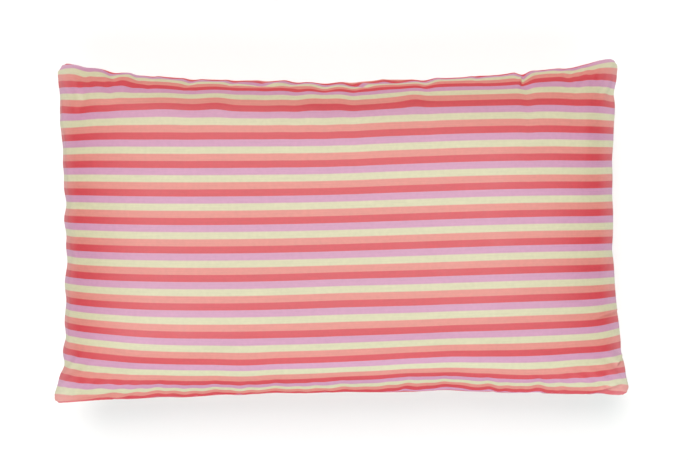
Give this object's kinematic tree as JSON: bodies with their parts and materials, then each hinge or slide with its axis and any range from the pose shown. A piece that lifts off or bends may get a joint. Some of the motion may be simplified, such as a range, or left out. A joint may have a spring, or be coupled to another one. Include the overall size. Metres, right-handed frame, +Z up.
{
  "type": "striped rectangular cushion",
  "caption": "Rectangular filled cushion with a knife-edge seam, drawn-in sides and even stripes along its length.",
  "frame": {"origin": "centre of the bounding box at the floor, under the cushion as it lies on its back", "axes": "+X along the long sides, +Y towards the edge at the top of the picture, +Z up out of the front"},
  "size_m": [0.5036, 0.2962, 0.094],
  "materials": {
    "cushion_cloth": "smooth woven polyester with a soft sheen, striped in coral red, lilac, pale yellow and salmon"
  },
  "bodies": {
    "root": {"cushion": "cushion_cloth"}
  },
  "joints": []
}
